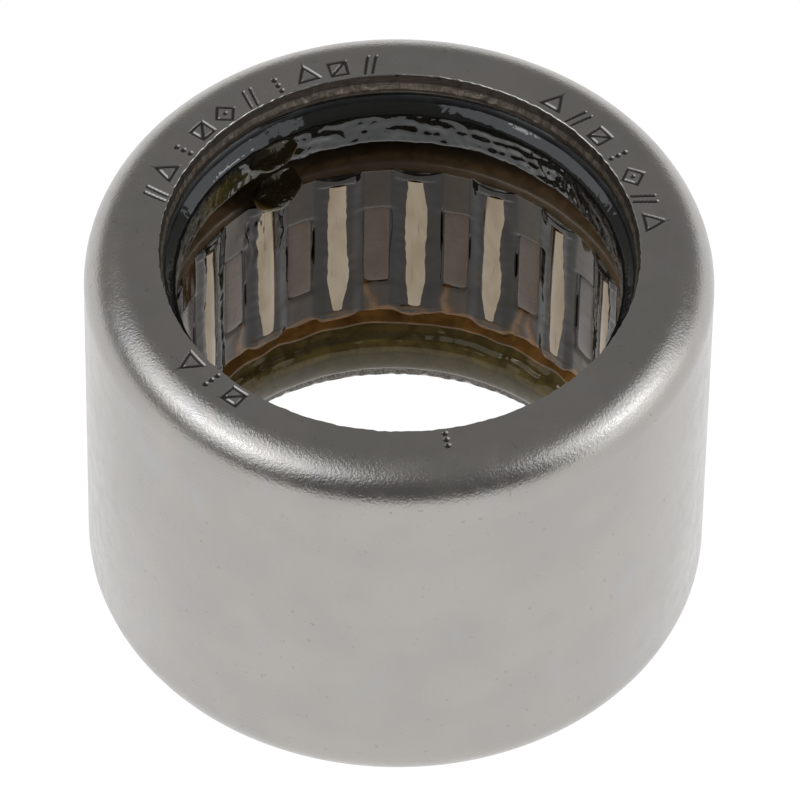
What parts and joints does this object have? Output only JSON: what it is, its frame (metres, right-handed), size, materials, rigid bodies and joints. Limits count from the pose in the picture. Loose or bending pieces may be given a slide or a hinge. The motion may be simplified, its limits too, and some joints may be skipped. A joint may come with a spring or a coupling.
{
  "type": "needle roller bearing",
  "caption": "Drawn-cup needle roller bearing with a caged ring of slim rollers and a rubber lip seal inside each end.",
  "frame": {"origin": "on the bearing's axis at half its width, which is the centre of its bounding box", "axes": "+Z along the bearing's axis; the cage and rollers are stored resting towards the -Z seal"},
  "size_m": [0.022, 0.022, 0.016],
  "materials": {
    "cup_steel": "satin",
    "cage_steel": "satin",
    "roller_steel": "polished",
    "seal_rubber": "satin"
  },
  "bodies": {
    "cup_body": {"outer_cup": "cup_steel", "upper_lip_seal": "seal_rubber", "lower_lip_seal": "seal_rubber"},
    "cage_body": {"cage": "cage_steel"},
    "roller_body_01": {"needle_roller_01": "roller_steel"},
    "roller_body_02": {"needle_roller_02": "roller_steel"},
    "roller_body_03": {"needle_roller_03": "roller_steel"},
    "roller_body_04": {"needle_roller_04": "roller_steel"},
    "roller_body_05": {"needle_roller_05": "roller_steel"},
    "roller_body_06": {"needle_roller_06": "roller_steel"},
    "roller_body_07": {"needle_roller_07": "roller_steel"},
    "roller_body_08": {"needle_roller_08": "roller_steel"},
    "roller_body_09": {"needle_roller_09": "roller_steel"},
    "roller_body_10": {"needle_roller_10": "roller_steel"},
    "roller_body_11": {"needle_roller_11": "roller_steel"},
    "roller_body_12": {"needle_roller_12": "roller_steel"},
    "roller_body_13": {"needle_roller_13": "roller_steel"},
    "roller_body_14": {"needle_roller_14": "roller_steel"},
    "roller_body_15": {"needle_roller_15": "roller_steel"},
    "roller_body_16": {"needle_roller_16": "roller_steel"},
    "roller_body_17": {"needle_roller_17": "roller_steel"},
    "roller_body_18": {"needle_roller_18": "roller_steel"}
  },
  "joints": [
    {"name": "cage_spin", "type": "hinge", "parent": "cup_body", "child": "cage_body", "pos_m": [0, 0, 0], "axis": [0, 0, 1], "continuous": true},
    {"name": "roller_spin_01", "type": "hinge", "parent": "cage_body", "child": "roller_body_01", "pos_m": [0.00066, 0.009, -0.0005], "axis": [0, 0, 1], "continuous": true},
    {"name": "roller_spin_02", "type": "hinge", "parent": "cage_body", "child": "roller_body_02", "pos_m": [-0.00246, 0.00868, -0.0005], "axis": [0, 0, 1], "continuous": true},
    {"name": "roller_spin_03", "type": "hinge", "parent": "cage_body", "child": "roller_body_03", "pos_m": [-0.00528, 0.00732, -0.0005], "axis": [0, 0, 1], "continuous": true},
    {"name": "roller_spin_04", "type": "hinge", "parent": "cage_body", "child": "roller_body_04", "pos_m": [-0.00746, 0.00507, -0.0005], "axis": [0, 0, 1], "continuous": true},
    {"name": "roller_spin_05", "type": "hinge", "parent": "cage_body", "child": "roller_body_05", "pos_m": [-0.00874, 0.00221, -0.0005], "axis": [0, 0, 1], "continuous": true},
    {"name": "roller_spin_06", "type": "hinge", "parent": "cage_body", "child": "roller_body_06", "pos_m": [-0.00897, -0.00091, -0.0005], "axis": [0, 0, 1], "continuous": true},
    {"name": "roller_spin_07", "type": "hinge", "parent": "cage_body", "child": "roller_body_07", "pos_m": [-0.00812, -0.00393, -0.0005], "axis": [0, 0, 1], "continuous": true},
    {"name": "roller_spin_08", "type": "hinge", "parent": "cage_body", "child": "roller_body_08", "pos_m": [-0.00629, -0.00647, -0.0005], "axis": [0, 0, 1], "continuous": true},
    {"name": "roller_spin_09", "type": "hinge", "parent": "cage_body", "child": "roller_body_09", "pos_m": [-0.0037, -0.00823, -0.0005], "axis": [0, 0, 1], "continuous": true},
    {"name": "roller_spin_10", "type": "hinge", "parent": "cage_body", "child": "roller_body_10", "pos_m": [-0.00066, -0.009, -0.0005], "axis": [0, 0, 1], "continuous": true},
    {"name": "roller_spin_11", "type": "hinge", "parent": "cage_body", "child": "roller_body_11", "pos_m": [0.00246, -0.00868, -0.0005], "axis": [0, 0, 1], "continuous": true},
    {"name": "roller_spin_12", "type": "hinge", "parent": "cage_body", "child": "roller_body_12", "pos_m": [0.00528, -0.00732, -0.0005], "axis": [0, 0, 1], "continuous": true},
    {"name": "roller_spin_13", "type": "hinge", "parent": "cage_body", "child": "roller_body_13", "pos_m": [0.00746, -0.00507, -0.0005], "axis": [0, 0, 1], "continuous": true},
    {"name": "roller_spin_14", "type": "hinge", "parent": "cage_body", "child": "roller_body_14", "pos_m": [0.00874, -0.00221, -0.0005], "axis": [0, 0, 1], "continuous": true},
    {"name": "roller_spin_15", "type": "hinge", "parent": "cage_body", "child": "roller_body_15", "pos_m": [0.00897, 0.00091, -0.0005], "axis": [0, 0, 1], "continuous": true},
    {"name": "roller_spin_16", "type": "hinge", "parent": "cage_body", "child": "roller_body_16", "pos_m": [0.00812, 0.00393, -0.0005], "axis": [0, 0, 1], "continuous": true},
    {"name": "roller_spin_17", "type": "hinge", "parent": "cage_body", "child": "roller_body_17", "pos_m": [0.00629, 0.00647, -0.0005], "axis": [0, 0, 1], "continuous": true},
    {"name": "roller_spin_18", "type": "hinge", "parent": "cage_body", "child": "roller_body_18", "pos_m": [0.0037, 0.00823, -0.0005], "axis": [0, 0, 1], "continuous": true}
  ],
  "couplings": [
    {"joint": "roller_spin_01", "follows": "cage_spin", "ratio": -10.02},
    {"joint": "roller_spin_02", "follows": "cage_spin", "ratio": -10.02},
    {"joint": "roller_spin_03", "follows": "cage_spin", "ratio": -10.02},
    {"joint": "roller_spin_04", "follows": "cage_spin", "ratio": -10.02},
    {"joint": "roller_spin_05", "follows": "cage_spin", "ratio": -10.02},
    {"joint": "roller_spin_06", "follows": "cage_spin", "ratio": -10.02},
    {"joint": "roller_spin_07", "follows": "cage_spin", "ratio": -10.02},
    {"joint": "roller_spin_08", "follows": "cage_spin", "ratio": -10.02},
    {"joint": "roller_spin_09", "follows": "cage_spin", "ratio": -10.02},
    {"joint": "roller_spin_10", "follows": "cage_spin", "ratio": -10.02},
    {"joint": "roller_spin_11", "follows": "cage_spin", "ratio": -10.02},
    {"joint": "roller_spin_12", "follows": "cage_spin", "ratio": -10.02},
    {"joint": "roller_spin_13", "follows": "cage_spin", "ratio": -10.02},
    {"joint": "roller_spin_14", "follows": "cage_spin", "ratio": -10.02},
    {"joint": "roller_spin_15", "follows": "cage_spin", "ratio": -10.02},
    {"joint": "roller_spin_16", "follows": "cage_spin", "ratio": -10.02},
    {"joint": "roller_spin_17", "follows": "cage_spin", "ratio": -10.02},
    {"joint": "roller_spin_18", "follows": "cage_spin", "ratio": -10.02}
  ]
}
